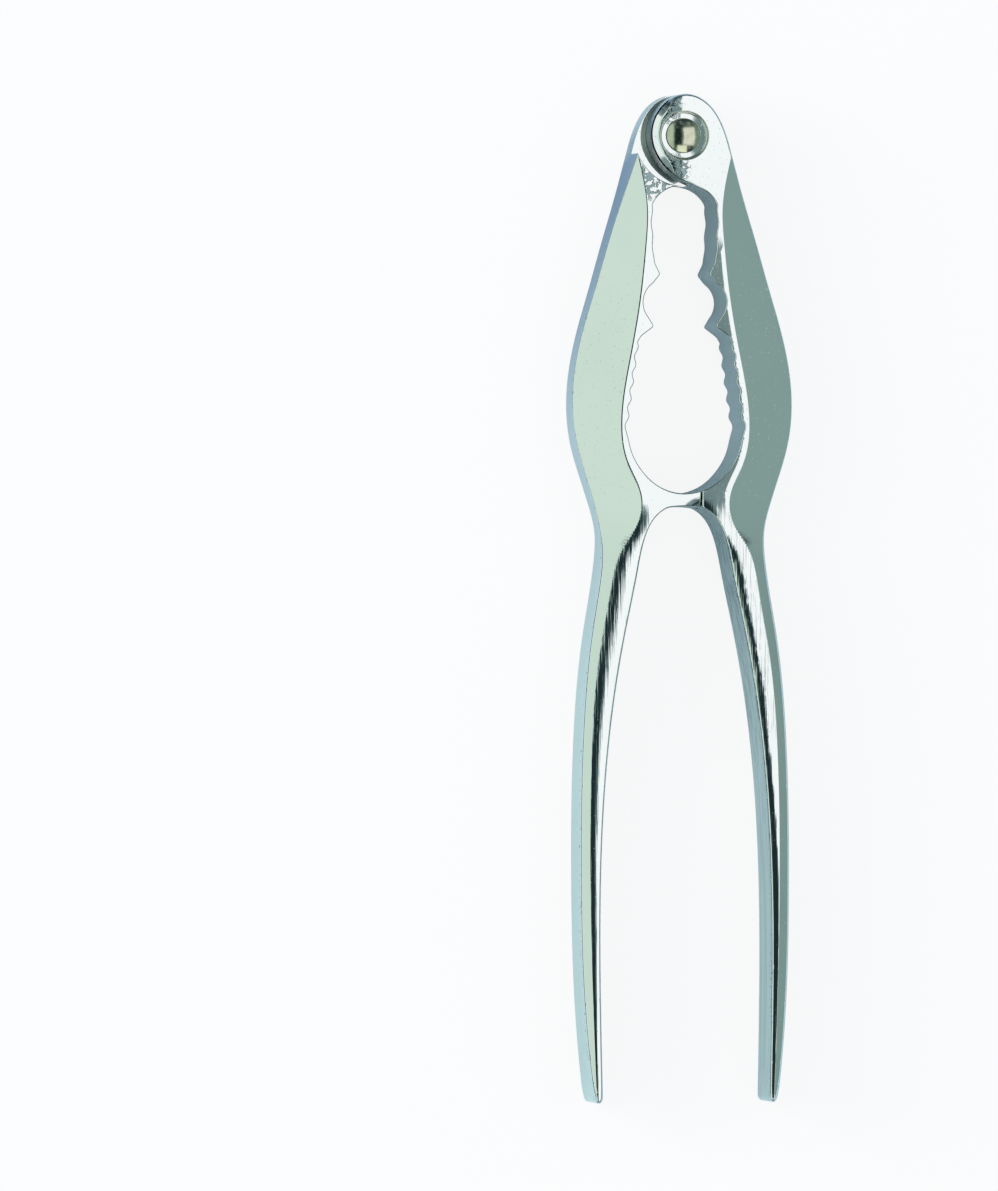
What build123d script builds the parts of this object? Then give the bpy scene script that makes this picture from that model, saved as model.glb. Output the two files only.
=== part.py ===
"""Plier-type nut cracker: two cast levers, half lapped at one pivot, and a rivet.

Millimetres. The cracker lies flat and closed: +Y runs from the handle ends to the
pivot, +X to the right lever, +Z up. The origin is the centre of the box's underside.
Both levers are one casting: the left one is the right one turned over about +Y.
"""
import os
from math import cos, pi, radians, sin

from build123d import *

# overall sizes
THICK = 12.0            # both levers, over their flat rims
REACH = 179.4           # pivot centre to the end of the handles
HUB_TOP = 7.75          # pivot centre to the top of the hub
MID = THICK / 2
PIVOT_Y = (REACH - HUB_TOP) / 2
GRID = REACH / 179.4    # the outline's own unit, so that it keeps its shape

# pivot
LAP_GAP = 0.2           # between the two half-thick hubs, and between the lugs
SEAT_R = 9.4            # concave seat that the other lever's hub turns in
SHANK_R = 2.4
RUN_FIT = 0.05          # shank to bore, all round
HEAD_R = 3.25
HEAD_ROOM = 0.95        # dish floor past the head, all round
DISH_FLARE = 0.3        # dish wider at the hub's face than at its floor, all round
DISH_DEPTH = 1.3
HEAD_WALL = 0.3         # straight edge of the heads, below their domes
HEAD_LIFT = 0.2         # front head above its dish floor, so the joint runs free
HEAD_SINK = 0.05        # tops of the heads below the hubs' faces

# stop lugs under the nut bays
LUG_REACH = 3.05        # past the centre line
LUG_GAP = 0.2           # to the other lever's end face, when closed
LUG_HEIGHT = 3.25

# grip ribs on the walls of the large bay
RIB_HEIGHT = 0.24
RIBS = 6

# outer facets: fall per millimetre across, at the neck, the head and the handle
NECK_FALL = 0.46
HEAD_FALL = 0.33
HANDLE_FALL = 0.75
FACET_SPAN = 13.0 * GRID

HANDLE_ROUND = 1.3      # inner edges of the handle

plan = Plane(origin=(0, PIVOT_Y, 0))
half_height = MID - LAP_GAP / 2
front_half = plan.offset(MID + LAP_GAP / 2)


def at(across, below):
    """A point of the plan, in grid units from the pivot."""
    return (across * GRID, -below * GRID)


def on_seat(angle):
    """A point of the seat's arc, at an angle below +X."""
    return (SEAT_R * cos(radians(angle)), -SEAT_R * sin(radians(angle)))


def smooth(value):
    """0 below 0, 1 above 1, and a soft step between."""
    t = min(max(value, 0.0), 1.0)
    return t * t * (3 - 2 * t)


def facet_fall(below):
    """Slope of the outer facet at a distance below the pivot."""
    neck = (NECK_FALL - HEAD_FALL) * (1 - smooth((below - 4) / 26))
    handle = (HANDLE_FALL - HEAD_FALL) * smooth((below - 66) / 14)
    return HEAD_FALL + neck + handle


def edge_round(below):
    """Radius of the handle's inner edges: it grows out of the lug and thins to the tip."""
    grown = 0.25 + 0.75 * smooth((below - 69) / 10)
    return HANDLE_ROUND * grown * (1 - 0.25 * smooth((below - 100) / 70))


def rib_wave(start, end, count, height):
    """Points of a straight run with rounded ribs on it, towards -X."""
    run = Vector(*end) - Vector(*start)
    points = []
    for i in range(2 * count - 1):
        share = i / (2 * count - 2)
        here = Vector(*start) + run * share
        points.append((here.X - height * cos(2 * pi * share * (count - 1)), here.Y))
    return points


def slice_at(point):
    """Upright plane across the lever through a point of the plan, at the front face."""
    place = (point.X, PIVOT_Y + point.Y, THICK)
    return Plane(origin=place, x_dir=(1, 0, 0), z_dir=(0, -1, 0))


# corners of the right lever's plan
NECK_OUT = on_seat(19.5)
HORN = on_seat(88.2)
NECK_IN = (HORN[0] + 2.6, HORN[1] - 0.4)
BAY_TOP = at(6.1, 12.9)
TOOTH_1 = at(4.6, 25.7)
TOOTH_2 = at(5.8, 35.4)
RIBS_TOP = at(8.95, 38.4)
STOP_X = LUG_REACH + LUG_GAP
STOP_Y = -65.8 * GRID
LUG_IN = (STOP_X, STOP_Y)
LUG_OUT = (STOP_X, STOP_Y - LUG_HEIGHT)
LUG_END = -LUG_REACH
TIP = (16.45 * GRID, -REACH)
TIP_IN = at(15.7, 178.2)
TIP_OUT = at(17.75, 176.8)
HANDLE_IN = [
    at(6.2, 71.6),
    at(7.7, 75.1),
    at(8.9, 80.8),
    at(11.0, 91.0),
    at(13.4, 104.8),
    at(15.3, 123.0),
    at(16.1, 145.0),
]

# crest between the flat rim and the outer facet
with BuildLine() as crest:
    Spline(
        (NECK_OUT[0] + 0.59, NECK_OUT[1] + 2.64),
        (NECK_OUT[0] - 0.01, NECK_OUT[1] - 0.36),
        at(7.85, 8.0),
        at(7.1, 13.5),
        at(7.35, 20.0),
        at(8.4, 30.0),
        at(10.4, 41.5),
        at(12.0, 54.0),
        at(10.9, 60.6),
        at(8.3, 67.2),
        at(9.3, 72.4),
        at(11.8, 76.4),
        at(13.9, 84.5),
        at(16.0, 97.0),
        at(17.4, 114.0),
        at(17.7, 141.0),
        at(17.3, 160.0),
        at(16.2, 188.0),
    )

# wedge outside the outer facet, from the neck to past the tip
CREST_SLICES = 44
with BuildPart() as facet_cut:
    for i in range(CREST_SLICES + 1):
        here = crest.line @ (i / CREST_SLICES)
        fall = facet_fall(-here.Y / GRID)
        with BuildSketch(slice_at(here)):
            with BuildLine():
                Polyline(
                    (-1.0, fall),
                    (FACET_SPAN, -FACET_SPAN * fall),
                    (FACET_SPAN, fall),
                    (-1.0, fall),
                )
            make_face()
    loft()

# wedge outside the rounded inner edge of the handle, from the lug to past the tip
with BuildLine() as handle_edge:
    Spline(at(3.3, 69.05), *HANDLE_IN, TIP_IN, at(15.2, 188.0))
EDGE_SLICES = 24
with BuildPart() as edge_cut:
    for i in range(EDGE_SLICES + 1):
        here = handle_edge.line @ (0.02 + 0.98 * i / EDGE_SLICES)
        size = edge_round(-here.Y / GRID)
        with BuildSketch(slice_at(here)):
            with BuildLine():
                ThreePointArc((size, 0.06), (0.25 * size, -0.25 * size), (-0.06, -size))
                Polyline((-0.06, -size), (-1.5, -size), (-1.5, 1), (size, 1), (size, 0.06))
            make_face()
    loft()

with BuildPart() as right_lever:
    # full-thickness body, from the seat to the tip
    with BuildSketch(plan):
        with BuildLine():
            RadiusArc(NECK_OUT, HORN, SEAT_R)
            Spline(HORN, NECK_IN, at(4.75, 11.0), BAY_TOP)
            small_bay = Spline(
                BAY_TOP,
                at(6.0, 14.0),
                at(6.25, 16.3),
                at(5.95, 18.4),
                at(6.05, 20.6),
                at(5.75, 22.6),
                at(5.65, 23.6),
            )
            Line(small_bay @ 1, TOOTH_1)
            tooth_1_foot = Line(TOOTH_1, at(5.95, 27.4))
            middle_bay = ThreePointArc(tooth_1_foot @ 1, at(7.8, 30.6), at(6.9, 33.6))
            Line(middle_bay @ 1, TOOTH_2)
            tooth_2_foot = Line(TOOTH_2, at(8.2, 37.2))
            Line(tooth_2_foot @ 1, RIBS_TOP)
            Spline(
                RIBS_TOP,
                *rib_wave(at(9.0, 39.4), at(11.2, 55.2), RIBS, RIB_HEIGHT),
                at(10.15, 58.4),
                at(8.3, 61.9),
                at(5.6, 64.6),
                LUG_IN,
            )
            Line(LUG_IN, LUG_OUT)
            Spline(LUG_OUT, *HANDLE_IN, TIP_IN)
            Spline(TIP_IN, TIP, TIP_OUT, tangents=[(-0.1, -1), (1, 0), (0.25, 1)])
            Spline(
                TIP_OUT,
                at(19.4, 158.0),
                at(19.85, 138.0),
                at(19.4, 112.0),
                at(17.4, 91.0),
                at(15.75, 80.5),
                at(15.5, 75.0),
                at(17.0, 67.5),
                at(20.2, 56.4),
                at(20.8, 48.0),
                at(18.8, 36.0),
                at(16.6, 28.6),
                at(13.9, 19.3),
                at(11.0, 10.0),
                NECK_OUT,
            )
        make_face()
    extrude(amount=THICK)

    # half-thick hub on the front side
    with BuildSketch(front_half):
        with BuildLine():
            Spline(
                NECK_OUT,
                at(8.25, 0.8),
                at(6.75, -3.0),
                at(4.4, -6.1),
                (0.4 * GRID, HUB_TOP),
                at(-4.3, -5.3),
                at(-6.15, 0.0),
                at(-3.9, 5.5),
                at(-0.4, 7.95),
                NECK_IN,
            )
            Polyline(NECK_IN, at(7.0, 9.0), NECK_OUT)
        make_face()
    extrude(amount=half_height)

    # the horn of the seat is on the rear side only
    with BuildSketch(plan.offset(half_height)):
        with BuildLine():
            Polyline(
                at(-0.4, 7.95),
                at(1.25, 8.72),
                NECK_IN,
                at(2.6, 10.6),
                at(-0.4, 10.0),
                at(-0.4, 7.95),
            )
        make_face()
    extrude(amount=THICK, mode=Mode.SUBTRACT)

    # outer facets, and the rounded inner edges of the handle, front and back
    add(facet_cut.part, mode=Mode.SUBTRACT)
    add(mirror(facet_cut.part, about=Plane.XY.offset(MID), mode=Mode.PRIVATE), mode=Mode.SUBTRACT)
    add(edge_cut.part, mode=Mode.SUBTRACT)
    add(mirror(edge_cut.part, about=Plane.XY.offset(MID), mode=Mode.PRIVATE), mode=Mode.SUBTRACT)

    # stop lug on the rear side, under the bay
    with BuildSketch(plan):
        with BuildLine():
            ThreePointArc(LUG_IN, (0, STOP_Y - 0.55), (LUG_END, STOP_Y))
            Line((LUG_END, STOP_Y), (LUG_END, STOP_Y - LUG_HEIGHT))
            ThreePointArc(
                (LUG_END, STOP_Y - LUG_HEIGHT),
                (0, STOP_Y - LUG_HEIGHT + 0.2),
                LUG_OUT,
            )
            Polyline(LUG_OUT, (STOP_X + 1, STOP_Y - LUG_HEIGHT * 0.7), LUG_IN)
        make_face()
    extrude(amount=half_height)

    # bore, and the dish for the rivet's head
    with BuildSketch(plan):
        Circle(SHANK_R + RUN_FIT)
    extrude(amount=THICK, mode=Mode.SUBTRACT)
    with BuildSketch(plan.offset(THICK - DISH_DEPTH)):
        Circle(HEAD_R + HEAD_ROOM)
    with BuildSketch(plan.offset(THICK)):
        Circle(HEAD_R + HEAD_ROOM + DISH_FLARE)
    loft(mode=Mode.SUBTRACT)

with BuildPart() as left_lever:
    add(right_lever.part.rotate(Axis((0, 0, MID), (0, 1, 0)), 180))

# rivet: its rear head is set tight in the left lever's dish
FRONT_SEAT = THICK - DISH_DEPTH + HEAD_LIFT
FRONT_TOP = THICK - HEAD_SINK
with BuildPart() as pivot_rivet:
    with BuildSketch(Plane(origin=(0, PIVOT_Y, 0), x_dir=(1, 0, 0), z_dir=(0, -1, 0))):
        with BuildLine():
            TangentArc((0, HEAD_SINK), (HEAD_R, DISH_DEPTH - HEAD_WALL), tangent=(1, 0))
            Polyline(
                (HEAD_R, DISH_DEPTH - HEAD_WALL),
                (HEAD_R, DISH_DEPTH),
                (SHANK_R, DISH_DEPTH),
                (SHANK_R, FRONT_SEAT),
                (HEAD_R, FRONT_SEAT),
                (HEAD_R, FRONT_SEAT + HEAD_WALL),
            )
            TangentArc((0, FRONT_TOP), (HEAD_R, FRONT_SEAT + HEAD_WALL), tangent=(1, 0))
            Line((0, FRONT_TOP), (0, HEAD_SINK))
        make_face()
    revolve(axis=Axis((0, PIVOT_Y, 0), (0, 0, 1)))

right_lever.part.label = "right_lever"
left_lever.part.label = "left_lever"
pivot_rivet.part.label = "pivot_rivet"

os.makedirs("parts", exist_ok=True)
export_step(right_lever.part, "parts/right_lever.step")
export_step(left_lever.part, "parts/left_lever.step")
export_step(pivot_rivet.part, "parts/pivot_rivet.step")
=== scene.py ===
"""Plier-type nut cracker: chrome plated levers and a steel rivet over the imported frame.

The levers' plan is written in millimetres from the pivot centre, y upwards, for the
right lever; the left lever is the same casting turned over about its length.
"""

from math import atan2, cos, hypot, pi, radians, sin

import bpy
import numpy as np
from mathutils import Matrix, Vector
from mathutils.geometry import delaunay_2d_cdt

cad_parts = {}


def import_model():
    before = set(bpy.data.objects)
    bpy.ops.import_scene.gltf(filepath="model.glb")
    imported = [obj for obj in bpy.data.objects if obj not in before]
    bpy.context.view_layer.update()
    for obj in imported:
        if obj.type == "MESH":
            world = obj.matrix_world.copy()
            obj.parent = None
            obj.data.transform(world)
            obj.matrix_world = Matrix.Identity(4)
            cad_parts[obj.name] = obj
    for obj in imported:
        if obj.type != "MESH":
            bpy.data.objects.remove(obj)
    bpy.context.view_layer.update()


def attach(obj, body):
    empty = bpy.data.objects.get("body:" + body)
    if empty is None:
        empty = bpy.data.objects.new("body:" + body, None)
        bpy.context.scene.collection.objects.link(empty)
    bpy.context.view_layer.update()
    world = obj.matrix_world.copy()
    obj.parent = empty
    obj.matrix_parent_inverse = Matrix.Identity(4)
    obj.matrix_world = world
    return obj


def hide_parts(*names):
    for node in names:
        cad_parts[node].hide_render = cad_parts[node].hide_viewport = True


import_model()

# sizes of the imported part, in millimetres
THICK = 12.0
MID = THICK / 2
PIVOT_Y = 85.825
LAP_GAP = 0.2
HUB_LOW = MID + LAP_GAP / 2
SEAT_FLOOR = MID - LAP_GAP / 2
SEAT_R = 9.4
BORE_R = 2.45
DISH_R = 4.5
DISH_DEPTH = 1.3
DISH_FLOOR = 4.2
HEAD_R = 3.25
SHANK_R = 2.4
RIB_HEIGHT = 0.24
RIBS = 6
RIBS_FROM, RIBS_TO = (9.0, -39.4), (11.2, -55.2)
NECK_FALL, HEAD_FALL, HANDLE_FALL = 0.46, 0.33, 0.75

# distances below the pivot at which the handle begins and the lever ends
HANDLE_START = 66
LEVER_END = 179.5

# fineness: chords between two points of a curve, points on an eased corner, steps in a turn,
# and how many points are measured at a time
CHORDS = 40
CORNER_POINTS = 6
TURN_STEPS = 96
BLOCK = 400

# corners of the right lever's plan
NECK_OUT = (SEAT_R * cos(radians(19.5)), -SEAT_R * sin(radians(19.5)))
HORN = (SEAT_R * cos(radians(88.2)), -SEAT_R * sin(radians(88.2)))
NECK_IN = (HORN[0] + 2.6, HORN[1] - 0.4)
HUB_FOOT = (-0.45, -8.3)
HUB_HEEL = (1.2, -9.0)
BAY_TOP = (6.1, -12.9)
BAY_LOW = (5.65, -23.6)
TOOTH_1 = (4.6, -25.7)
GRIP_TOP = (5.95, -27.4)
GRIP_LOW = (6.9, -33.6)
TOOTH_2 = (5.8, -35.4)
TOOTH_HEEL = (8.2, -37.2)
RIBS_TOP = (8.95, -38.4)
LUG_IN = (3.25, -65.8)
LUG_OUT = (3.25, -69.05)
LUG_END = -3.05
HANDLE_IN = [(6.2, -71.6), (7.7, -75.1), (8.9, -80.8), (11.0, -91.0), (13.4, -104.8),
             (15.3, -123.0), (16.1, -145.0)]
TIP_IN = (15.7, -178.2)
TIP_OUT = (17.75, -176.8)
CREST = [(NECK_OUT[0] + 0.59, NECK_OUT[1] + 2.64), (NECK_OUT[0] - 0.01, NECK_OUT[1] - 0.36),
         (7.85, -8.0), (7.1, -13.5), (7.35, -20.0), (8.4, -30.0), (10.4, -41.5), (12.0, -54.0),
         (10.9, -60.6), (8.3, -67.2), (9.3, -72.4), (11.8, -76.4), (13.9, -84.5), (16.0, -97.0),
         (17.4, -114.0), (17.7, -141.0), (17.3, -160.0), (16.2, -188.0)]


# ---------------------------------------------------------------- curves in the plan

def smooth(value):
    """0 below 0, 1 above 1, and a soft step between."""
    t = np.clip(value, 0.0, 1.0)
    return t * t * (3 - 2 * t)


def lengths(points):
    """Distance along a run at each of its points."""
    gaps = np.hypot(*np.diff(points, axis=0).T)
    return np.concatenate([[0], np.cumsum(gaps)])


def at_lengths(points, along, wanted):
    """The points of a run at the wanted distances along it."""
    x, y = points.T
    return np.stack([np.interp(wanted, along, x), np.interp(wanted, along, y)], 1)


def knot_slopes(knots, chord):
    """Slopes of a spline at its points; its ends follow a cubic through the nearest four."""
    count = len(knots)
    along = np.concatenate([[0], np.cumsum(chord)])
    near = min(4, count)
    matrix, goal = np.zeros((count, count)), np.zeros((count, 2))
    matrix[0, 0] = matrix[-1, -1] = 1
    goal[0] = np.polyfit(along[:near] - along[0], knots[:near], near - 1)[-2]
    goal[-1] = np.polyfit(along[-near:] - along[-1], knots[-near:], near - 1)[-2]
    for i in range(1, count - 1):
        matrix[i, i - 1:i + 2] = chord[i], 2 * (chord[i - 1] + chord[i]), chord[i - 1]
        goal[i] = 3 * (chord[i] * (knots[i] - knots[i - 1]) / chord[i - 1]
                       + chord[i - 1] * (knots[i + 1] - knots[i]) / chord[i])
    return np.linalg.solve(matrix, goal)


def spline(points, tangents=None):
    """A cubic curve through points, as many short chords."""
    knots = np.array(points, float)
    chord = np.hypot(*np.diff(knots, axis=0).T)
    if tangents is None:
        slopes = knot_slopes(knots, chord)
    else:
        slopes = np.array([Vector(v).normalized() for v in tangents])
    s = np.linspace(0, 1, CHORDS + 1)[1:, None]
    out = [knots[:1]]
    for i, gap in enumerate(chord):
        out.append((1 + 2 * s) * (1 - s) ** 2 * knots[i] + s * (1 - s) ** 2 * gap * slopes[i]
                   + s * s * (3 - 2 * s) * knots[i + 1] + s * s * (s - 1) * gap * slopes[i + 1])
    return np.concatenate(out)


def arc(start, middle, end):
    """A circular arc through three points."""
    (ax, ay), (bx, by), (cx, cy) = start, middle, end
    d = 2 * (ax * (by - cy) + bx * (cy - ay) + cx * (ay - by))
    ux = ((ax * ax + ay * ay) * (by - cy) + (bx * bx + by * by) * (cy - ay)
          + (cx * cx + cy * cy) * (ay - by)) / d
    uy = ((ax * ax + ay * ay) * (cx - bx) + (bx * bx + by * by) * (ax - cx)
          + (cx * cx + cy * cy) * (bx - ax)) / d
    r = hypot(ax - ux, ay - uy)
    a0, a1, a2 = (atan2(y - uy, x - ux) for x, y in (start, middle, end))
    turn = (a2 - a0) % (2 * pi)
    if (a1 - a0) % (2 * pi) > turn:
        turn -= 2 * pi
    angles = a0 + turn * np.linspace(0, 1, CHORDS + 1)
    return np.stack([ux + r * np.cos(angles), uy + r * np.sin(angles)], 1)


def line(start, end):
    """A straight run."""
    return np.array([start, end], float)


def respace(points, step):
    """The same run with evenly spaced points."""
    along = lengths(points)
    count = max(2, int(np.ceil(along[-1] / step)) + 1)
    return at_lengths(points, along, np.linspace(0, along[-1], count))


def trimmed(points, head, tail):
    """A run with a length cut from each end."""
    along = lengths(points)
    head, tail = min(head, along[-1] * 0.4), min(tail, along[-1] * 0.4)
    inner = (along > head + 1e-9) & (along < along[-1] - tail - 1e-9)
    return at_lengths(points, along, np.concatenate([[head], along[inner], [along[-1] - tail]]))


def loop(runs):
    """A closed outline from runs of (points, step, edge rounding, corner after it).

    Corners are eased by a small curve. Returns the points, the width and height of the
    edge rounding, and the run that each point comes from.
    """
    count = len(runs)
    cut = [trimmed(r[0], runs[i - 1][3], r[3]) for i, r in enumerate(runs)]
    points, radii, source = [], [], []
    for i, (_, step, radius, corner) in enumerate(runs):
        run = respace(cut[i], step)
        value = radius(run) if callable(radius) else np.full((len(run), 2), float(radius))
        points.append(run[:-1])
        radii.append(value[:-1])
        source.append(np.full(len(run) - 1, i))
        if corner > 0:
            start, tip, end = cut[i][-1], runs[i][0][-1], cut[(i + 1) % count][0]
            s = np.linspace(0, 1, CORNER_POINTS + 1)[:-1, None]
            points.append((1 - s) ** 2 * start + 2 * s * (1 - s) * tip + s * s * end)
            radii.append(np.tile(value[-1], (CORNER_POINTS, 1)))
            source.append(np.full(CORNER_POINTS, i))
    points, radii, source = map(np.concatenate, (points, radii, source))
    for _ in range(3):
        radii = sum(np.roll(radii, k, axis=0) for k in range(-2, 3)) / 5
    return points, radii, source


def inside(points, polygon):
    """Which points lie inside a closed polygon."""
    x, y = points[:, 0], points[:, 1]
    hit = np.zeros(len(points), bool)
    x1, y1 = polygon[:, 0], polygon[:, 1]
    x2, y2 = np.roll(x1, -1), np.roll(y1, -1)
    for a, b, c, d in zip(x1, y1, x2, y2):
        if b != d:
            hit ^= ((b > y) != (d > y)) & (x < (c - a) * (y - b) / (d - b) + a)
    return hit


def nearest(points, outline, values):
    """Distance to the outline, unit vector away from it, and its values there."""
    chord = np.roll(outline, -1, axis=0) - outline
    square = np.maximum((chord ** 2).sum(1), 1e-12)
    after = np.roll(values, -1, axis=0)
    dist = np.empty(len(points))
    away = np.empty((len(points), 2))
    value = np.empty((len(points), 2))
    for i in range(0, len(points), BLOCK):
        p = points[i:i + BLOCK, None]
        s = np.clip(((p - outline) * chord).sum(2) / square, 0, 1)
        gap = p - (outline + s[..., None] * chord)
        gap_square = (gap ** 2).sum(2)
        k = gap_square.argmin(1)
        j = np.arange(len(k))
        dist[i:i + BLOCK] = np.sqrt(gap_square[j, k])
        away[i:i + BLOCK] = gap[j, k] / np.maximum(dist[i:i + BLOCK], 1e-9)[:, None]
        share = s[j, k][:, None]
        value[i:i + BLOCK] = values[k] * (1 - share) + after[k] * share
    return dist, away, value


# ------------------------------------------------------------------- the right lever

def along_lever(table):
    """A value that changes down the lever, from pairs of (distance below the pivot, value)."""
    below, value = np.array(table, float).T
    return lambda y: np.interp(-np.asarray(y, float), below, value)


# the handle's top line, from the crest inwards, on the front and the rear face
TOP_FRONT = along_lever([(66, 2.6), (78, 2.6), (93, 2.2), (110, 1.75), (123, 0.95), (134, 0.35),
                         (149, 0.05), (180, 0.0)])
TOP_REAR = along_lever([(66, 2.2), (78, 2.4), (93, 2.35), (110, 1.75), (132, 1.3), (150, 1.1),
                        (165, 0.7), (180, 0.4)])

# the crown inwards of the top line: its radius and first slope in front, its slope at the
# crest at the rear, the tilt of the front top towards the crest, and how softly they meet
FRONT_BEND = 6.3
FRONT_START = 0.075
REAR_START = 0.27
TOP_TILT = radians(2)
TOP_SOFT = 0.08

# the dish: the depth of its steep wall, and the slope of its floor inside that
DISH_WALL = DISH_DEPTH - 0.22
DISH_SLOPE = radians(3.2)

# the hub's face falls to the left, from a little left of the pivot
HUB_TILT = radians(2.4)
HUB_TILT_X = -0.45

# the rims lean about a line this far inside the crest, and lie this much below the top
LEAN_INSIDE = 2.2
RIM_DROP = 0.06

# the bevel on the hub's left: the edge rounding that turns into it, its slope, and the width,
# fall and slope of the lip at its foot
BEVEL_FROM = 0.65
BEVEL_SLOPE = 0.875
LIP_WIDTH = 0.25
LIP_FALL = 0.6
LIP_LEAN = 1.6

# how far out the crest moves down the rear of the handle, and how softly it turns at the head
CREST_SHIFT = 0.4
CREST_SOFT = 0.16


def handle_edge(run):
    """Rounding where the handle's top meets its inner wall."""
    grown = smooth((-run[:, 1] - 69) / 9)
    return np.stack([0.3 + 0.12 * grown, 0.3 + 0.25 * grown], 1)


def outer_edge(run):
    """Rounding where the outer facet meets the outer wall."""
    r = 0.30 + 0.15 * smooth((-run[:, 1] - HANDLE_START) / 14)
    return np.stack([r, r], 1)


def hub_edge(run):
    """Rounding of the hub: a broad bevel on its left."""
    left = smooth((-run[:, 0] - 1.0) / 3.5)
    r = 0.5 + 0.8 * left
    return np.stack([r, r * (1 - 0.4 * left)], 1)


def ribs():
    """Points of the ribbed wall of the large bay."""
    (x0, y0), (x1, y1) = RIBS_FROM, RIBS_TO
    out = []
    for i in range(2 * RIBS - 1):
        share = i / (2 * RIBS - 2)
        wave = RIB_HEIGHT * cos(2 * pi * share * (RIBS - 1))
        out.append((x0 + (x1 - x0) * share - wave, y0 + (y1 - y0) * share))
    return out


# the runs of the plan: points, step, edge rounding and the corner after them
BAY = 0.26
inner_runs = [
    (spline([BAY_TOP, (6.0, -14.0), (6.25, -16.3), (5.95, -18.4), (6.05, -20.6),
             (5.75, -22.6), BAY_LOW]), 0.3, BAY, 0.45),
    (line(BAY_LOW, TOOTH_1), 0.25, BAY, 0.45),
    (line(TOOTH_1, GRIP_TOP), 0.25, BAY, 0.4),
    (arc(GRIP_TOP, (7.8, -30.6), GRIP_LOW), 0.3, BAY, 0.4),
    (line(GRIP_LOW, TOOTH_2), 0.25, BAY, 0.45),
    (line(TOOTH_2, TOOTH_HEEL), 0.25, BAY, 0.3),
    (line(TOOTH_HEEL, RIBS_TOP), 0.25, BAY, 0.3),
    (spline([RIBS_TOP, *ribs(), (10.15, -58.4), (8.3, -61.9), (5.6, -64.6), LUG_IN]),
     0.22, BAY, 0.0),
]
handle_runs = [
    (spline([LUG_OUT, *HANDLE_IN, TIP_IN]), 0.4, handle_edge, 0.0),
    (spline([TIP_IN, (16.45, -179.4), TIP_OUT], [(-0.1, -1), (1, 0), (0.25, 1)]), 0.2, 0.6, 0.0),
    (spline([TIP_OUT, (19.4, -158.0), (19.85, -138.0), (19.4, -112.0), (17.4, -91.0),
             (15.75, -80.5), (15.5, -75.0), (17.0, -67.5), (20.2, -56.4), (20.8, -48.0),
             (18.8, -36.0), (16.6, -28.6), (13.9, -19.3), (11.0, -10.0), NECK_OUT]),
     0.5, outer_edge, 0.0),
]

horn_run = spline([HORN, NECK_IN, (4.75, -11.0), BAY_TOP])
hub_points = [NECK_OUT, (8.25, -0.8), (6.75, 3.0), (4.4, 6.1), (0.4, 7.75), (-4.3, 5.3),
              (-6.15, 0.0), (-3.9, -5.5), HUB_FOOT, NECK_IN]
# the hub's edge ends at its foot, one point before the last of the curve
hub_run = spline(hub_points)[:(len(hub_points) - 2) * CHORDS + 1]

front_runs = [
    (hub_run, 0.3, hub_edge, 0.3),
    (line(HUB_FOOT, HUB_HEEL), 0.3, 0.4, 0.4),
    (line(HUB_HEEL, NECK_IN), 0.3, 0.3, 0.4),
    (horn_run[CHORDS:], 0.3, 0.3, 0.4),
    *inner_runs[:-1],
    inner_runs[-1][:3] + (0.35,),
    (line(LUG_IN, LUG_OUT), 0.25, 0.3, 0.5),
    *handle_runs,
]
seat_middle = (SEAT_R * cos(radians(50)), -SEAT_R * sin(radians(50)))
lug_top_end, lug_low_end = (LUG_END, LUG_IN[1]), (LUG_END, LUG_OUT[1])
rear_runs = [
    (arc(NECK_OUT, seat_middle, HORN), 0.3, 0.2, 0.25),
    (horn_run, 0.3, 0.25, 0.4),
    *inner_runs,
    (arc(LUG_IN, (0, -66.35), lug_top_end), 0.3, 0.3, 0.3),
    (line(lug_top_end, lug_low_end), 0.25, 0.3, 0.3),
    (arc(lug_low_end, (0, -68.85), LUG_OUT), 0.3, 0.3, 0.5),
    *handle_runs[:-1],
    handle_runs[-1][:3] + (0.35,),
]

# places in these lists that the walls are told apart by
HUB_RUN = 0
HUB_UNDER = (1, 2)
SEAT_RUN = 0
HORN_RUN = 1
HORN_END = 2.9
LUG_RUNS = [len(inner_runs) + k for k in (2, 3, 4)]

crest_line = spline(CREST)
crest_y = crest_line[::-1, 1]
crest_x = crest_line[::-1, 0]


def crest_at(y):
    """The crest's x."""
    return np.interp(y, crest_y, crest_x)


def crest_out(y, front):
    """The crest's x on one face: a little further out down the rear of the handle."""
    return crest_at(y) + (0.0 if front else CREST_SHIFT * smooth((-np.asarray(y) - 70) / 20))


def fall_at(y):
    """The outer facet's fall per millimetre across."""
    return (HEAD_FALL + (NECK_FALL - HEAD_FALL) * (1 - smooth((-y - 4) / 26))
            + (HANDLE_FALL - HEAD_FALL) * smooth((-y - HANDLE_START) / 14))


def streaked(y):
    """How strongly the handle is marked by lengthwise streaks, as bumps and as painted dark
    reflection: most near the head.
    """
    return smooth((-y - HANDLE_START) / 10) * (1 - 0.55 * smooth((-y - 98) / 28))


def bend(t, soft):
    """A ramp with a rounded foot."""
    return np.where(t < -soft, 0, np.where(t > soft, t, (t + soft) ** 2 / (4 * soft)))


# slope of the flat rims on the front and the rear face, in degrees: above zero they fall
# towards the crest, below zero they fall inwards
LEAN_FRONT = along_lever([(0, 0), (9, 0), (14, 0.6), (22, -2.2), (58, -2.7), (69, -2.4), (73, 0),
                          (180, 0)])
LEAN_REAR = along_lever([(0, 0), (10, -1.2), (66, -1.2), (76, 0), (180, 0)])


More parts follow.
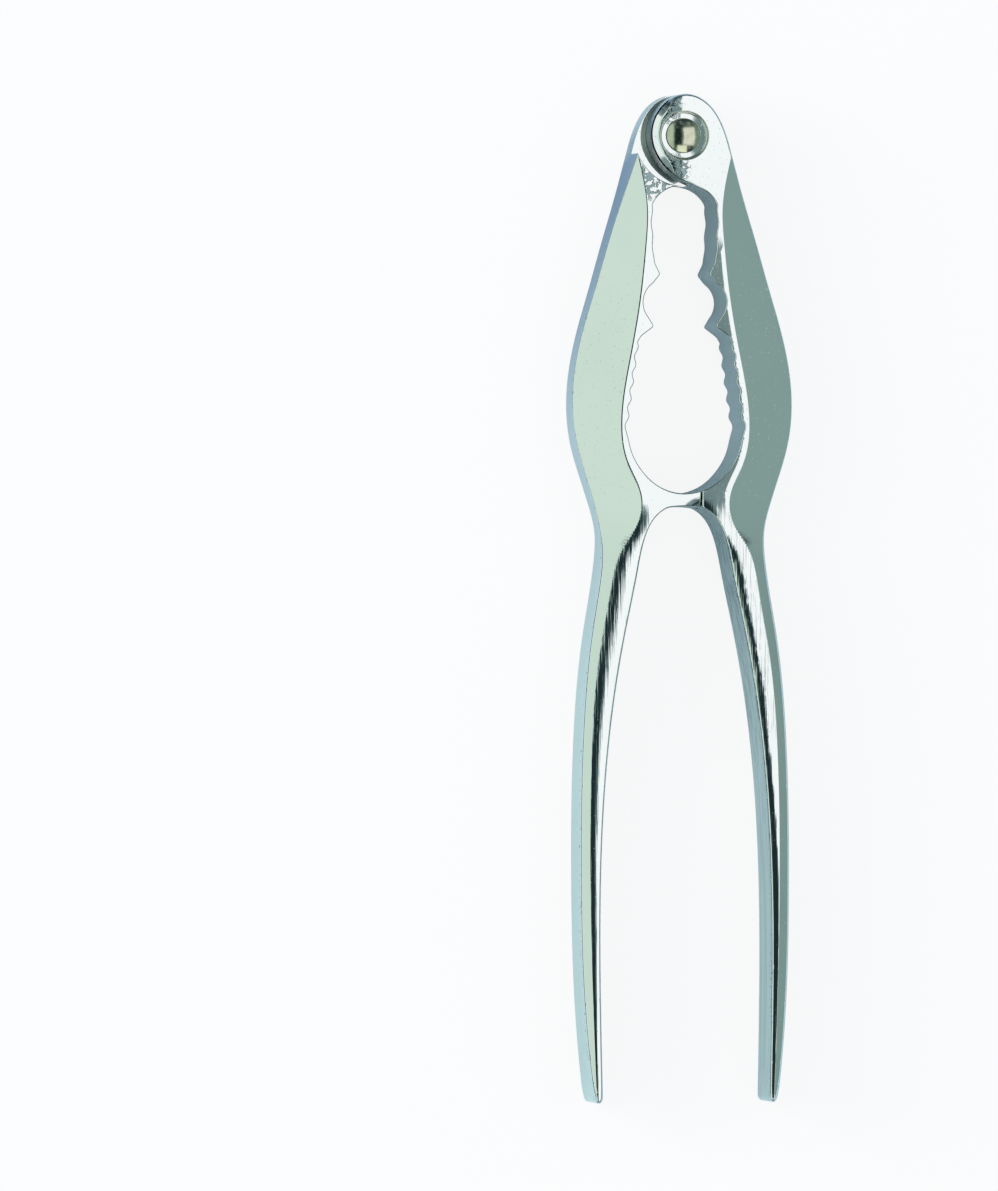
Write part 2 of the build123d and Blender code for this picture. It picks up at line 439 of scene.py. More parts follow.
def rim(x, y, front):
    """Height of the rim: nearly flat at the head, crowned along the handle."""
    xc = crest_out(y, front)
    handle = smooth((-y - HANDLE_START) / 10)
    if front:
        past = bend(xc - TOP_FRONT(y) - x, TOP_SOFT)
        crown = FRONT_START * past + past ** 2 / (2 * FRONT_BEND)
        crown = (crown + TOP_TILT * bend(x - xc + TOP_FRONT(y), TOP_SOFT)) * handle
    else:
        top = TOP_REAR(y)
        crown = (xc - x - top) ** 2 / (2 * top / REAR_START) * handle
    lean = np.radians((LEAN_FRONT if front else LEAN_REAR)(y))
    flat = RIM_DROP + lean * (x - xc + LEAN_INSIDE)
    z = THICK - crown - np.maximum(flat, 0) * smooth((-y - 2) / 5)
    if front:
        z = z - HUB_TILT * bend(HUB_TILT_X - x, 0.12) * smooth((y + 11) / 2)
    return z


def dish(x, y):
    """Depths of the wall and of the sloping floor of the dish that the rivet's head lies in."""
    rho = np.maximum(np.hypot(x, y), 1e-6)
    step = bend(DISH_R - rho, 0.13) - bend(DISH_FLOOR - rho, 0.10)
    wall = DISH_WALL / (DISH_R - DISH_FLOOR) * step
    return wall, DISH_SLOPE * bend(DISH_FLOOR - rho, 0.10)


def height(x, y, front):
    """Height of a lever's face before its edges are rounded."""
    xc = crest_out(y, front)
    soft = np.interp(-y, [0, 60, 80, 180], [CREST_SOFT, CREST_SOFT, 0.07, 0.05])
    on = y < crest_y[-1]
    z = rim(np.where(on, np.minimum(x, xc), x), y, front)
    z = z - np.where(on, fall_at(y) * bend(x - xc, soft), 0)
    if front:
        wall, floor_fall = dish(x, y)
        z = z - wall - floor_fall
    return z


def face(points, front):
    """Height of a lever's face before its edges are rounded, and its slopes."""
    x, y = points.T
    dx, dy = 0.004, 0.02
    zx = (height(x + dx, y, front) - height(x - dx, y, front)) / (2 * dx)
    zy = (height(x, y + dy, front) - height(x, y - dy, front)) / (2 * dy)
    return height(x, y, front), zx, zy


# one turn about the pivot, as points at a distance of 1
turn_angles = np.linspace(0, 2 * pi, TURN_STEPS + 1)[:-1]
circle = np.stack([np.cos(turn_angles), np.sin(turn_angles)], 1)

# leans of a rounded edge, in degrees, that have a ring of points; some on broad edges only
RING_LEANS = (80, 70, 60, 50, 40, 30, 20, 10, 0)
BROAD_LEANS = (80, 60, 30, 10)
BROAD_EDGE = 0.8
NO_RING = 9

# distances of the rows of points beside the crest, and of the rings about the dish
CREST_ROWS = (-2.0, -1.5, -1.1, -0.8, -0.5, -0.3, -0.16, -0.07, 0.0, 0.07, 0.16, 0.5)
DISH_RINGS = (5.0, 4.65, 4.57, 4.5, 4.43, 4.36, 4.3, 4.25, 4.2, 4.15, 4.09, 3.8, 3.4, 3.0)
CLEAR_OF_DISH = 5.3
GRID_STEP = 0.9


def edge_rings(outline, inward, radii):
    """Rings of points along the rounded edge."""
    rings = []
    for angle in RING_LEANS:
        offset = radii[:, 0] * (1 - sin(radians(angle)))
        if angle in BROAD_LEANS:
            offset = np.where(radii[:, 0] > BROAD_EDGE, offset, NO_RING)
        ring = outline + inward * offset[:, None]
        near, _, _ = nearest(ring, outline, radii)
        rings.append(ring[(near > offset - 0.02) & (offset < NO_RING - 1)])
    return np.concatenate(rings)


def middle_points(outline, radii, front):
    """Points of a face inside its edges: rows by the crest, rings by the dish and a grid."""
    y = np.arange(-LEVER_END, crest_y[-1], 0.5)
    rows = [np.stack([crest_out(y, front) + offset, y], 1) for offset in CREST_ROWS]
    gx, gy = np.meshgrid(np.arange(-7, 22, GRID_STEP), np.arange(-180, 9, GRID_STEP))
    gx = gx + GRID_STEP / 2 * (np.arange(len(gx))[:, None] % 2)
    grid = np.stack([gx.ravel(), gy.ravel()], 1)
    if front:
        rows += [radius * circle for radius in DISH_RINGS]
        grid = grid[np.hypot(*grid.T) > CLEAR_OF_DISH]
    grid = grid[np.abs(grid[:, 0] - crest_out(grid[:, 1], front)) > 0.8]
    middle = np.concatenate(rows + [grid])
    middle = middle[inside(middle, outline)]
    near, _, radius = nearest(middle, outline, radii)
    return middle[near > np.minimum(radius[:, 0], 0.9) + 0.12]


def ring_of_edges(first, count):
    """Edges that close a ring of points."""
    return [(first + i, first + (i + 1) % count) for i in range(count)]


def triangulated(points, edges):
    """The points and the triangles between them that keep to the edges."""
    found = delaunay_2d_cdt([Vector(p) for p in points], edges, [], 0, 1e-6)
    return np.array([v[:] for v in found[0]]), np.array(found[2])


def rounded(points, outline, radii, front):
    """Heights and normals of a face's points with its edges rounded or bevelled."""
    near, away, radius = nearest(points, outline, radii)
    z, zx, zy = face(points, front)
    wide, tall = radius.T
    left = np.clip((wide - near) / wide, 0, 0.99998)
    root = np.sqrt(1 - left ** 2)
    bevel = smooth((wide - BEVEL_FROM) / 0.5)
    depth = bend(wide - near, 0.15)
    lip = bend(LIP_WIDTH - near, 0.12)
    steep = tall / wide * left / root * (1 - bevel)
    turned = smooth((wide - near) / 0.3 + 0.5)
    steep = steep + bevel * (BEVEL_SLOPE * turned + LIP_LEAN * (near < LIP_WIDTH))
    z = z - tall * (1 - root) * (1 - bevel) - bevel * (BEVEL_SLOPE * depth + LIP_FALL * lip)
    zx = zx + steep * away[:, 0]
    zy = zy + steep * away[:, 1]
    normal = np.stack([-zx, -zy, np.ones(len(zx))], 1)
    normal /= np.linalg.norm(normal, axis=1)[:, None]
    return z, normal, near


def side(runs, front):
    """One face of the lever with its rounded edges: vertices, normals and triangles."""
    outline, radii, source = loop(runs)
    area = 0.5 * (outline[:, 0] * np.roll(outline[:, 1], -1)
                  - outline[:, 1] * np.roll(outline[:, 0], -1)).sum()
    if area < 0:
        outline, radii, source = outline[::-1], radii[::-1], source[::-1]
    along = np.roll(outline, -1, axis=0) - np.roll(outline, 1, axis=0)
    along /= np.hypot(*along.T)[:, None]
    inward = np.stack([-along[:, 1], along[:, 0]], 1)
    points = np.concatenate([outline, edge_rings(outline, inward, radii),
                             middle_points(outline, radii, front)])
    edges = ring_of_edges(0, len(outline))
    if front:
        edges += ring_of_edges(len(points), TURN_STEPS)
        points = np.concatenate([points, BORE_R * circle])
    points, triangles = triangulated(points, edges)
    centres = points[triangles].mean(1)
    keep = inside(centres, outline)
    if front:
        keep &= np.hypot(*centres.T) > BORE_R
    z, normal, near = rounded(points, outline, radii, front)
    outline_z = face(outline, front)[0] - radii[:, 1]
    places = {tuple(np.round(p, 5)): k for k, p in enumerate(points)}
    for i, p in enumerate(outline):
        k = places.get(tuple(np.round(p, 5)))
        if k is not None:
            z[k] = outline_z[i]
            normal[k] = (-inward[i, 0], -inward[i, 1], 0.02)
    x, y = points.T
    drawn = streaked(y) * smooth((crest_out(y, front) - x + 0.02) / 0.1)
    return {"outline": outline, "inward": inward, "source": source, "rim": outline_z,
            "points": points, "z": z, "normal": normal, "triangles": triangles[keep],
            "near": near, "drawn": drawn}


class Shell:
    """Vertices, faces and normals gathered for one mesh."""

    def __init__(self):
        self.points, self.faces, self.normals = [], [], []
        self.edge_gaps, self.drawn = [], []
        self.count = 0

    def add(self, points, normals, faces, edge_gap=None, drawn=None):
        """More points, with their distance to the edge and their share of the streaks."""
        far, none = np.zeros(len(points)) + 9, np.zeros(len(points))
        self.points.append(np.asarray(points, float))
        self.normals.append(np.asarray(normals, float))
        self.edge_gaps.append(far if edge_gap is None else np.asarray(edge_gap, float))
        self.drawn.append(none if drawn is None else np.asarray(drawn, float))
        self.faces += [tuple(int(k) + self.count for k in f) for f in faces]
        self.count += len(points)

    def mesh(self, name, turned=False):
        """The mesh in metres, turned over about the lever's length where that is asked for."""
        points, normals = np.concatenate(self.points), np.concatenate(self.normals)
        normals = normals / np.linalg.norm(normals, axis=1)[:, None]
        if turned:
            points = points * (-1, 1, -1) + (0, 0, THICK)
            normals = normals * (-1, 1, -1)
        points = (points + (0, PIVOT_Y, 0)) / 1000
        made = bpy.data.meshes.new(name)
        made.from_pydata(points.tolist(), [], self.faces)
        made.polygons.foreach_set("use_smooth", np.ones(len(made.polygons), bool))
        for label, values in (("edge_gap", self.edge_gaps), ("drawn", self.drawn)):
            attribute = made.attributes.new(label, "FLOAT", "POINT")
            attribute.data.foreach_set("value", np.concatenate(values))
        made.normals_split_custom_set_from_vertices(normals.tolist())
        made.update()
        return made


def walls(shell, face_side, rim_z, level, quad_order):
    """Upright wall between a face's rim and a level at the middle of the casting.

    The quads' corners come in the order that makes them look outwards.
    """
    outline, inward = face_side["outline"], face_side["inward"]
    n = len(outline)
    out = np.column_stack([-inward, np.zeros(n)])
    at_rim = np.column_stack([outline, rim_z])
    at_level = np.column_stack([outline, level])
    corners = [(i, i + n, (i + 1) % n + n, (i + 1) % n) for i in range(n)]
    faces = [tuple(quad[k] for k in quad_order) for quad in corners]
    gap = np.concatenate([np.zeros(n), abs(rim_z - level)])
    drawn = streaked(outline[:, 1]) * smooth(inward[:, 0] * 2)
    shell.add(np.concatenate([at_rim, at_level]), np.concatenate([out, out]), faces, gap,
              np.tile(drawn, 2))


def flip(points):
    """Points of a face turned to the underside."""
    return np.asarray(points) * (1, 1, -1) + (0, 0, THICK)


def cap(shell, keep, drop, z, up):
    """Flat underside or top where one half of the casting reaches past the other."""
    edges = ring_of_edges(0, len(keep)) + ring_of_edges(len(keep), len(drop))
    points, triangles = triangulated(np.concatenate([keep, drop]), edges)
    centres = points[triangles].mean(1)
    pick = inside(centres, keep) & ~inside(centres, drop)
    if up < 0:
        triangles = triangles[:, ::-1]
    spread = points[triangles]
    size = np.abs(np.cross(spread[:, 1] - spread[:, 0], spread[:, 2] - spread[:, 0]))
    triangles = triangles[pick & (size > 1e-3)]
    shell.add(np.column_stack([points, np.full(len(points), z)]),
              np.tile((0.0, 0.0, up), (len(points), 1)), triangles)


def wall_levels(front, rear):
    """Where each face's wall ends: at the middle, or at the lap beside the hub and the lug."""
    foot = np.where(front["source"] == HUB_RUN, HUB_LOW, MID)
    foot = np.where(np.isin(front["source"], HUB_UNDER), SEAT_FLOOR, foot)
    head = np.where(np.isin(rear["source"], LUG_RUNS), SEAT_FLOOR, MID)
    head = np.where(rear["source"] == SEAT_RUN, HUB_LOW, head)
    by_horn = (rear["source"] == HORN_RUN) & (rear["outline"][:, 0] < HORN_END)
    return foot, np.where(by_horn, SEAT_FLOOR, head)


def lever_shell():
    """The right lever: two faces, their walls, the lap's flats and the bore."""
    shell = Shell()
    front, rear = side(front_runs, True), side(rear_runs, False)
    foot, head = wall_levels(front, rear)
    shell.add(np.column_stack([front["points"], front["z"]]), front["normal"],
              front["triangles"], front["near"], front["drawn"])
    back = flip(np.column_stack([rear["points"], rear["z"]]))
    shell.add(back, rear["normal"] * (1, 1, -1), rear["triangles"][:, ::-1], rear["near"],
              rear["drawn"])
    walls(shell, front, front["rim"], foot, (0, 1, 2, 3))
    walls(shell, rear, THICK - rear["rim"], head, (0, 3, 2, 1))
    cap(shell, front["outline"], rear["outline"], HUB_LOW, -1.0)
    cap(shell, rear["outline"], front["outline"], SEAT_FLOOR, 1.0)
    n = TURN_STEPS
    bore = np.concatenate([np.column_stack([circle * BORE_R, np.full(n, z)])
                           for z in (THICK - DISH_DEPTH, HUB_LOW)])
    faces = [(i, (i + 1) % n, (i + 1) % n + n, i + n) for i in range(n)]
    shell.add(bore, np.column_stack([-np.tile(circle, (2, 1)), np.zeros(2 * n)]), faces)
    return shell


# ------------------------------------------------------------------------- materials

class Nodes:
    """Short calls for a node tree."""

    def __init__(self, tree):
        self.tree = tree
        tree.nodes.clear()

    def new(self, kind, **settings):
        """A node with its settings and, under "inputs", its values or links."""
        node = self.tree.nodes.new(kind)
        inputs = settings.pop("inputs", {})
        for key, value in settings.items():
            setattr(node, key, value)
        for key, value in inputs.items():
            self.put(node.inputs[key], value)
        return node

    def put(self, socket, value):
        """Link a socket to another one, or give it a value."""
        if isinstance(value, bpy.types.NodeSocket):
            self.tree.links.new(value, socket)
        else:
            socket.default_value = value

    def place(self):
        """A point's place in its own object."""
        return self.new("ShaderNodeTexCoord").outputs["Object"]

    def parts(self, vector):
        """The x, y and z of a vector."""
        return self.new("ShaderNodeSeparateXYZ", inputs={"Vector": vector}).outputs

    def attribute(self, label):
        """A number that the mesh holds at each point."""
        return self.new("ShaderNodeAttribute", attribute_name=label).outputs["Fac"]

    def distance(self, a, b):
        """The distance between two places."""
        node = self.new("ShaderNodeVectorMath", operation="DISTANCE", inputs={0: a, 1: b})
        return node.outputs["Value"]

    def math(self, operation, *values):
        """One sum."""
        node = self.new("ShaderNodeMath", operation=operation)
        for socket, value in zip(node.inputs, values):
            self.put(socket, value)
        return node.outputs[0]

    def spread(self, value, low, high, to_low=0.0, to_high=1.0, kind="LINEAR"):
        """A range of values spread over another range, and held at its ends."""
        node = self.new("ShaderNodeMapRange", interpolation_type=kind)
        for key, item in zip(("Value", "From Min", "From Max", "To Min", "To Max"),
                             (value, low, high, to_low, to_high)):
            self.put(node.inputs[key], item)
        return node.outputs[0]

    def noise(self, vector, scale, detail=2.0, rough=0.5):
        """Noise, from 0 to 1."""
        node = self.new("ShaderNodeTexNoise", inputs={"Vector": vector, "Scale": scale,
                                                      "Detail": detail, "Roughness": rough})
        return node.outputs["Fac"]

    def stretched(self, vector, scale):
        """A place with each of its axes scaled."""
        node = self.new("ShaderNodeMapping", inputs={"Vector": vector, "Scale": scale})
        return node.outputs[0]

    def mix(self, share, a, b):
        """A colour between two colours."""
        node = self.new("ShaderNodeMix", data_type="RGBA")
        self.put(node.inputs[0], share)
        self.put(node.inputs[6], a)
        self.put(node.inputs[7], b)
        return node.outputs[2]

    def bump(self, height, distance, normal=None, strength=1.0):
        """A normal bent by a height map, on top of another bent normal if there is one."""
        node = self.new("ShaderNodeBump", inputs={"Strength": strength, "Distance": distance,
                                                  "Height": height})
        if normal is not None:
            self.put(node.inputs["Normal"], normal)
        return node.outputs["Normal"]

    def mix_shader(self, share, a, b):
        """A shader between two shaders."""
        node = self.new("ShaderNodeMixShader")
        self.put(node.inputs[0], share)
        self.put(node.inputs[1], a)
        self.put(node.inputs[2], b)
        return node.outputs[0]

    def finish(self, shader, kind="ShaderNodeOutputMaterial"):
        """The output node."""
        out = self.new(kind)
        self.put(out.inputs["Surface"], shader)

    def metal(self, color, rough, normal):
        """A bare metal as the material's surface."""
        shader = self.new("ShaderNodeBsdfPrincipled", inputs={
            "Base Color": color, "Metallic": 1.0, "Roughness": rough, "Normal": normal})
        self.finish(shader.outputs[0])


def new_material(name):
    """An empty material and the calls for its nodes."""
    material = bpy.data.materials.new(name)
    material.use_nodes = True
    return material, Nodes(material.node_tree)


# middles, in metres, and reaches of the patches on the hub with a grain bump and painted dark
# speckled reflection
SPECKLE_SPOTS = (((-0.0056, 0.0772, 0.012), 0.0040), ((-0.0035, 0.0908, 0.012), 0.0034),
              ((-0.0018, 0.0796, 0.012), 0.0032))


def grain_and_painted_speckle(t, where, facing):
    """Grain in a few patches on the hub's flat face, as a bump and as painted dark speckled
    reflection.
    """
    patches = 0.0
    for spot, reach in SPECKLE_SPOTS:
        near_spot = t.spread(t.distance(where, spot), reach * 0.7, reach, 1.0, 0.0)
        patches = t.math("MAXIMUM", patches, near_spot)
    patches = t.math("MULTIPLY", patches, t.spread(facing, 0.97, 0.99))
    speckle_grain = t.spread(t.noise(where, 1300.0, 2.0, 0.6), 0.49, 0.56)
    return t.math("MULTIPLY", speckle_grain, patches)


def painted_streaks_and_bumps(t, where, upright):
    """Streaks down the handle: painted dark streaks of reflection on its inner wall, and two
    heights for bumps.
    """
    drawn = t.attribute("drawn")
    streaks = t.noise(t.stretched(where, (1.0, 0.02, 0.8)), 1700.0, 3.0, 0.6)
    veil = t.noise(t.stretched(where, (1.0, 0.02, 0.7)), 600.0, 2.0)
    fine = t.noise(t.stretched(where, (1.0, 0.03, 0.4)), 3600.0, 2.0, 0.6)
    painted_dark_streaks = t.math("MULTIPLY", t.spread(streaks, 0.42, 0.56), t.spread(veil, 0.34, 0.52))
    painted_dark_streaks = t.math("MULTIPLY", t.math("MULTIPLY", painted_dark_streaks, drawn), upright)
    return painted_dark_streaks, t.math("MULTIPLY", streaks, drawn), t.math("MULTIPLY", fine, drawn)


def hub_wall(t, where, upright):
    """The upright wall round the hub, which is duller than the rest."""
    axis = t.distance(t.stretched(where, (1.0, 1.0, 0.0)), (0.0, PIVOT_Y / 1000, 0.0))
    return t.math("MULTIPLY", upright, t.spread(axis, 0.0085, 0.0092, 1.0, 0.0))


def chrome():
    """Polished chrome over a zinc casting, a little worn, with a parting seam; painted dark
    reflection streaks on the handle's inner walls and painted dark speckled reflection in patches
    on the hub.
    """
    material, t = new_material("chrome_plate")
    where = t.place()
    facing = t.new("ShaderNodeNewGeometry").outputs["True Normal"]
    facing = t.math("ABSOLUTE", t.parts(facing)[2])
    upright = t.spread(facing, 0.3, 0.8, 1.0, 0.0)
    near_edge = t.spread(t.attribute("edge_gap"), 0.0, 0.5, 1.0, 0.0)
    chips = t.spread(t.noise(where, 1400.0, 3.0), 0.60, 0.68)
    worn = t.math("MULTIPLY", near_edge, chips)
    painted_dark_streaks, streak_height, fine_height = painted_streaks_and_bumps(t, where, upright)
    speckle_grain = grain_and_painted_speckle(t, where, facing)

    color = t.mix(t.noise(where, 60.0), (0.80, 0.83, 0.82, 1), (0.74, 0.78, 0.78, 1))
    color = t.mix(worn, color, (0.42, 0.46, 0.47, 1))
    # painted dark streaks of reflection on the handle's upright walls
    color = t.mix(t.math("MULTIPLY", painted_dark_streaks, 0.7), color, (0.22, 0.31, 0.35, 1))
    # painted dark speckled reflection in the hub's grain patches
    color = t.mix(t.math("MULTIPLY", speckle_grain, 0.8), color, (0.12, 0.22, 0.24, 1))

    rough = t.spread(t.noise(where, 220.0, 4.0, 0.6), 0.3, 0.75, 0.02, 0.06)
    brushed = t.noise(t.stretched(where, (1.0, 0.06, 1.0)), 5200.0)
    rough = t.math("ADD", rough, t.spread(brushed, 0.58, 0.75, 0.0, 0.06))
    rough = t.math("ADD", rough, t.math("MULTIPLY", worn, 0.22))
    rough = t.math("ADD", rough, t.math("MULTIPLY", hub_wall(t, where, upright), 0.26))

    normal = t.bump(t.noise(where, 110.0, 1.0), 0.00006)
    normal = t.bump(streak_height, 0.00005, normal)
    normal = t.bump(fine_height, 0.000022, normal)
    normal = t.bump(t.noise(where, 900.0), 0.0000025, normal)
    pits = t.spread(t.noise(where, 2600.0, 1.0), 0.70, 0.78)
    normal = t.bump(pits, 0.00001, normal, 0.5)
    normal = t.bump(speckle_grain, 0.00007, normal)
    off_middle = t.math("ABSOLUTE", t.math("SUBTRACT", t.parts(where)[2], MID / 1000))
    seam = t.spread(off_middle, 0.00004, 0.00012, 1.0, 0.0)
    normal = t.bump(seam, 0.00001, normal, 0.6)
    t.metal(color, rough, normal)
    return material


def rivet_steel():
    """Nickelled steel, a little yellow, with a worn head."""
    material, t = new_material("rivet_steel")
    where = t.place()
    patches = t.noise(where, 700.0, 3.0)
    color = t.mix(t.spread(patches, 0.35, 0.7), (0.58, 0.60, 0.47, 1), (0.44, 0.46, 0.34, 1))
    fine = t.noise(where, 4200.0)
    rough = t.spread(fine, 0.3, 0.8, 0.08, 0.18)
    normal = t.bump(t.noise(where, 900.0), 0.000012)
    normal = t.bump(fine, 0.0000012, normal)
    t.metal(color, rough, normal)
    return material


# --------------------------------------------------------------------------- pieces

def piece(name, mesh, material, body, node):
    """A visible piece that rides on a body in place of one of the part's own nodes."""
    obj = bpy.data.objects.new(name, mesh)
    bpy.context.scene.collection.objects.link(obj)
    mesh.materials.append(material)
    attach(obj, body)
    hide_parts(node)
    return obj


plate = chrome()
shell = lever_shell()
piece("right_lever_plated", shell.mesh("right_lever_plated"), plate,
      "right_lever_body", "right_lever")
piece("left_lever_plated", shell.mesh("left_lever_plated", turned=True), plate,
      "left_lever_body", "left_lever")

# the rivet's upper head, in millimetres: its crown, the height of its upright edge, the share
# of the dome that comes before the eased rim, and how far its foot stays above the dish's
# floor; the lower head mirrors it, with its foot on the level of its own dish's floor
HEAD_HIGH = 11.95
HEAD_EDGE = 0.3
DOME_SHARE = 0.955
HEAD_CLEAR = 0.2
FOOT_HIGH = THICK - DISH_DEPTH + HEAD_CLEAR
FOOT_LOW = DISH_DEPTH


def lathe(shell, section, normals, inward=False):
    """Turn a section of (radius, height) about the pivot; inward turns its faces over."""
    steps = TURN_STEPS
    points = np.concatenate([np.column_stack([circle * r, np.full(steps, z)])
                             for r, z in section])
    turned = np.concatenate([np.column_stack([circle * out, np.full(steps, up)])
                             for out, up in normals])
    faces = []
    for i in range(len(section) - 1):
        for j in range(steps):
            k = (j + 1) % steps
            near, far = i * steps, (i + 1) * steps
            quad = (near + j, far + j, far + k, near + k)
            if section[i][0] < 1e-9:
                quad = (near + j, far + j, far + k)
            elif section[i + 1][0] < 1e-9:
                quad = (near + j, far + j, near + k)
            faces.append(quad[::-1] if inward else quad)
    shell.add(points, turned, faces)


def head_section():
    """Half a rivet head's section, from the top of its dome over the eased rim to its foot."""
    rise = HEAD_HIGH - (FOOT_HIGH + HEAD_EDGE)
    ball = (HEAD_R * HEAD_R + rise * rise) / (2 * rise)
    last = np.arcsin(HEAD_R / ball) * DOME_SHARE
    section, normals = [], []
    for a in np.linspace(0, last, 16):
        section.append((ball * sin(a), HEAD_HIGH - ball * (1 - cos(a))))
        normals.append((sin(a), cos(a)))
    rim_r, rim_z = section[-1]
    ease = (HEAD_R - rim_r) / (1 - sin(last))
    for a in np.linspace(last, pi / 2, 7)[1:]:
        section.append((HEAD_R - ease + ease * sin(a), rim_z - ease * (cos(last) - cos(a))))
        normals.append((sin(a), cos(a)))
    section.append((HEAD_R, FOOT_HIGH))
    normals.append((1, 0))
    return np.array(section), np.array(normals)


def rivet_mesh():
    """The rivet turned from its section, with eased rims on its heads."""
    section, normals = head_section()
    mirror = section * (1, -1) + (0, THICK)
    mirror[-1, 1] = FOOT_LOW
    shell = Shell()
    lathe(shell, section, normals)
    lathe(shell, mirror, normals * (1, -1), True)
    lathe(shell, [(SHANK_R, FOOT_HIGH), (HEAD_R, FOOT_HIGH)], [(0, -1), (0, -1)], True)
    lathe(shell, [(SHANK_R, FOOT_LOW), (HEAD_R, FOOT_LOW)], [(0, 1), (0, 1)])
    lathe(shell, [(SHANK_R, FOOT_HIGH), (SHANK_R, FOOT_LOW)], [(1, 0), (1, 0)])
    return shell.mesh("pivot_rivet_steel")


piece("pivot_rivet_steel", rivet_mesh(), rivet_steel(), "left_lever_body", "pivot_rivet")


# ------------------------------------------------------------- floor, light, camera

WHITE = (1, 1, 1, 1)
FLOOR_HALF = 3.0
FLOOR_DROP = 0.0002
FLOOR_GLOW = 0.88


def floor():
    """A pale table, bright to the camera; in the chrome's reflections it shows painted light and
    shade: lighter and greener towards the tips, bluer towards the head, and a painted shadow
    patch on the left by the jaws.
    """
    mesh = bpy.data.meshes.new("floor")
    s, z = FLOOR_HALF, -FLOOR_DROP
    mesh.from_pydata([(-s, -s, z), (s, -s, z), (s, s, z), (-s, s, z)], [], [(0, 1, 2, 3)])
    obj = bpy.data.objects.new("floor", mesh)
    bpy.context.scene.collection.objects.link(obj)
    material, t = new_material("floor")
    camera_ray = t.new("ShaderNodeLightPath").outputs["Is Camera Ray"]
    east, north, _ = t.parts(t.place())
    # painted shade, seen only in reflections: a shadow patch on the left by the jaws, and a tone
    # lighter and greener towards the tips
    painted_shadow = t.math("MULTIPLY", t.spread(north, 0.03, 0.075), t.spread(east, -0.010, -0.008, 1, 0))
    tone = t.mix(t.spread(north, -0.02, 0.03), (0.76, 0.89, 0.88, 1), (0.66, 0.77, 0.82, 1))
    tone = t.mix(painted_shadow, tone, (0.34, 0.45, 0.58, 1))
    tone = t.mix(camera_ray, tone, (0.85, 0.85, 0.85, 1))
    matt = t.new("ShaderNodeBsdfDiffuse", inputs={"Color": tone})
    bright = t.new("ShaderNodeEmission", inputs={"Color": WHITE, "Strength": 1.0})
    share = t.math("MULTIPLY", camera_ray, FLOOR_GLOW)
    t.finish(t.mix_shader(share, matt.outputs[0], bright.outputs[0]))
    mesh.materials.append(material)


# colours of the studio by how far a ray leans to the side, in degrees from straight up
DARK = (0.015, 0.03, 0.034)
SKY = (1.15, 1.17, 1.17)
GLOW = (1.02, 1.08, 1.06)
STUDIO = [
    (-90, (0.05, 0.09, 0.10)), (-78, (0.08, 0.12, 0.13)), (-75, GLOW), (-69.5, GLOW),
    (-68, (0.70, 0.85, 0.74)), (-24, (0.76, 0.90, 0.79)), (-20, (0.40, 0.52, 0.47)),
    (-17, DARK), (2, DARK), (4, (0.16, 0.24, 0.24)), (8, (0.22, 0.31, 0.31)), (9, SKY),
    (41, SKY), (45.5, (0.28, 0.40, 0.38)), (84, (0.26, 0.38, 0.35)), (90, (0.20, 0.28, 0.28)),
]


def studio_ramp(t, lean):
    """The studio's colours across, from the left horizon over the ceiling to the right."""
    ramp = t.new("ShaderNodeValToRGB", inputs={"Fac": lean})
    band = ramp.color_ramp
    while len(band.elements) < len(STUDIO):
        band.elements.new(0.5)
    for element, (angle, color) in zip(band.elements, STUDIO):
        element.position = (angle + 90) / 180
        element.color = (*color, 1)
    return ramp.outputs[0]


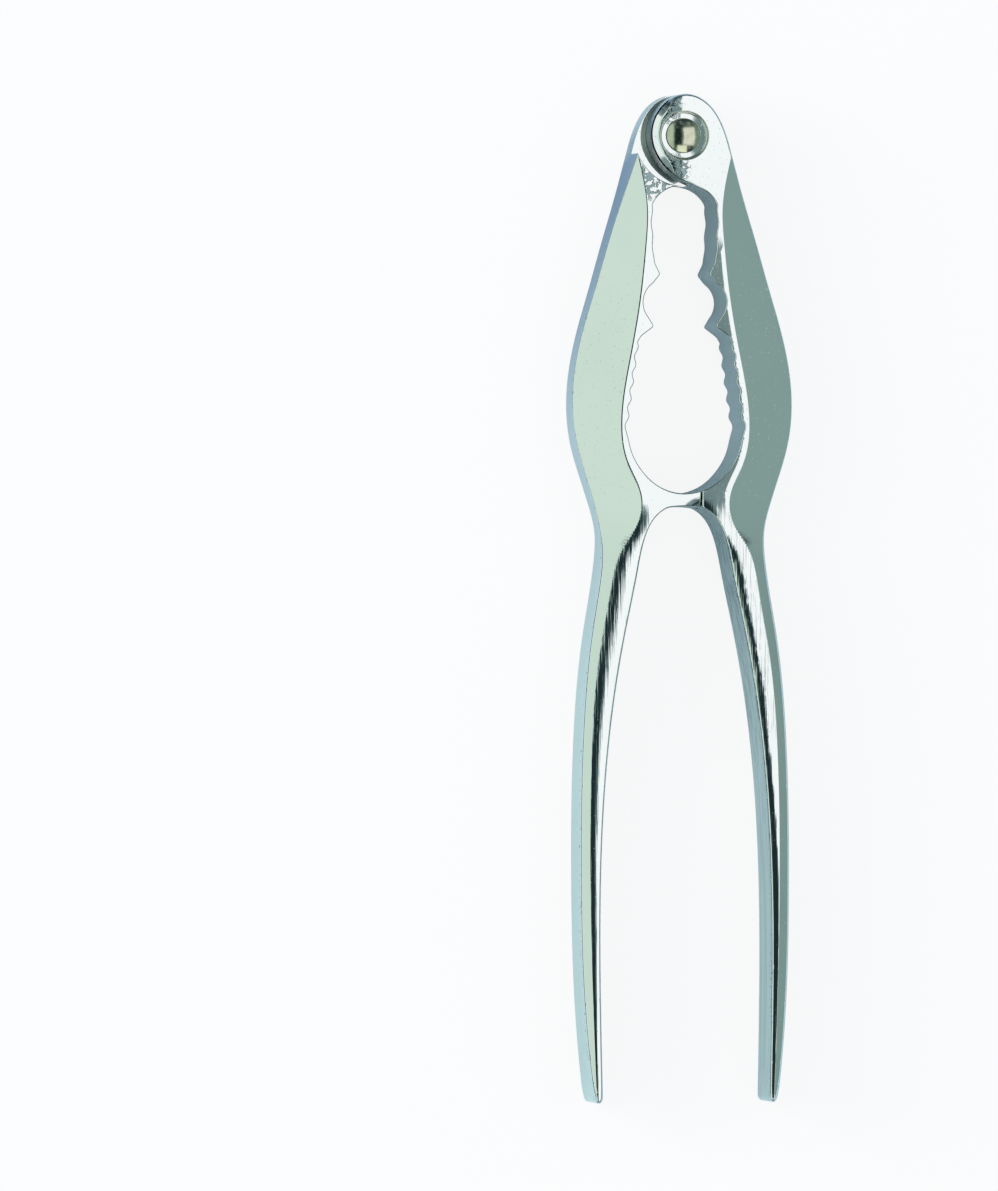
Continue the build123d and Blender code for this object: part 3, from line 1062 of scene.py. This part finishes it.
def world():
    """A pale studio: a bright ceiling to the right, a softer light to the left, dark gaps."""
    made = bpy.data.worlds.new("studio")
    bpy.context.scene.world = made
    made.use_nodes = True
    t = Nodes(made.node_tree)
    where = t.new("ShaderNodeTexCoord").outputs["Generated"]
    dx, dy, dz = t.parts(where)
    lean = t.spread(t.math("ARCTAN2", dx, dz), -pi / 2, pi / 2)
    clouds = t.spread(t.noise(where, 5.0, 3.0), 0.42, 0.62)
    around = t.mix(clouds, (0.03, 0.05, 0.06, 1), (0.26, 0.34, 0.35, 1))
    left = t.spread(lean, 0.40, 0.42, 1.0, 0.0)
    reach = t.math("ADD", t.math("ABSOLUTE", dy), t.math("MULTIPLY", left, -0.16))
    past_ramp = t.spread(reach, 0.37, 0.46, kind="SMOOTHSTEP")
    color = t.mix(past_ramp, studio_ramp(t, lean), around)
    low = t.math("MULTIPLY", t.spread(dy, -0.74, -0.71), t.spread(dy, -0.46, -0.43, 1, 0))
    across = t.math("MULTIPLY", t.spread(dx, -0.16, -0.12), t.spread(dx, 0.30, 0.34, 1, 0))
    color = t.mix(t.math("MULTIPLY", low, across), color, (1.5, 1.55, 1.4, 1))
    path = t.new("ShaderNodeLightPath")
    color = t.mix(path.outputs["Is Diffuse Ray"], color, (0.56, 0.68, 0.77, 1))
    back = t.new("ShaderNodeBackground", inputs={"Color": color, "Strength": 1.0})
    plain = t.new("ShaderNodeBackground", inputs={"Color": WHITE, "Strength": 1.0})
    both = t.mix_shader(path.outputs["Is Camera Ray"], back.outputs[0], plain.outputs[0])
    t.finish(both, "ShaderNodeOutputWorld")


def lamp():
    """A square window low on the left, for the soft shadow."""
    light = bpy.data.lights.new("window", "AREA")
    light.shape = "RECTANGLE"
    light.size, light.size_y = 0.9, 0.9
    light.energy = 24.0
    obj = bpy.data.objects.new("window", light)
    bpy.context.scene.collection.objects.link(obj)
    obj.location = (-1.5, 0.35, 0.5)
    obj.visible_glossy = False
    obj.rotation_mode = "QUATERNION"
    obj.rotation_quaternion = (-obj.location).to_track_quat("-Z", "Y")


# the camera: how far it stands to the left of straight above and its roll, in radians, its
# distance and shifts in metres, the photograph's height in pixels and one pixel in metres
CAMERA_TILT = radians(10.5)
CAMERA_ROLL = 0.00223
CAMERA_FAR = 2.5
CAMERA_SHIFT = 0.03462
CAMERA_NORTH = 0.0006
PHOTO_HEIGHT = 1191
PIXEL = 0.0001854
SENSOR = 36.0


def camera():
    """A long lens from far above and a little to the left."""
    right = Vector((cos(CAMERA_TILT), 0, sin(CAMERA_TILT)))
    up = Vector((0, 1, 0))
    back = Vector((-sin(CAMERA_TILT), 0, cos(CAMERA_TILT)))
    aim = Vector((0, CAMERA_NORTH, THICK / 1000)) - right * CAMERA_SHIFT
    right, up = ((right - up * CAMERA_ROLL).normalized(),
                 (up + right * CAMERA_ROLL).normalized())
    data = bpy.data.cameras.new("camera")
    data.sensor_width = SENSOR
    data.lens = SENSOR * CAMERA_FAR / (PHOTO_HEIGHT * PIXEL)
    data.clip_start, data.clip_end = 0.1, 20
    obj = bpy.data.objects.new("camera", data)
    bpy.context.scene.collection.objects.link(obj)
    turned = Matrix((right, up, back)).transposed().to_4x4()
    obj.matrix_world = Matrix.Translation(aim + back * CAMERA_FAR) @ turned
    bpy.context.scene.camera = obj


floor()
world()
lamp()
camera()
bpy.context.scene.view_settings.view_transform = "Standard"
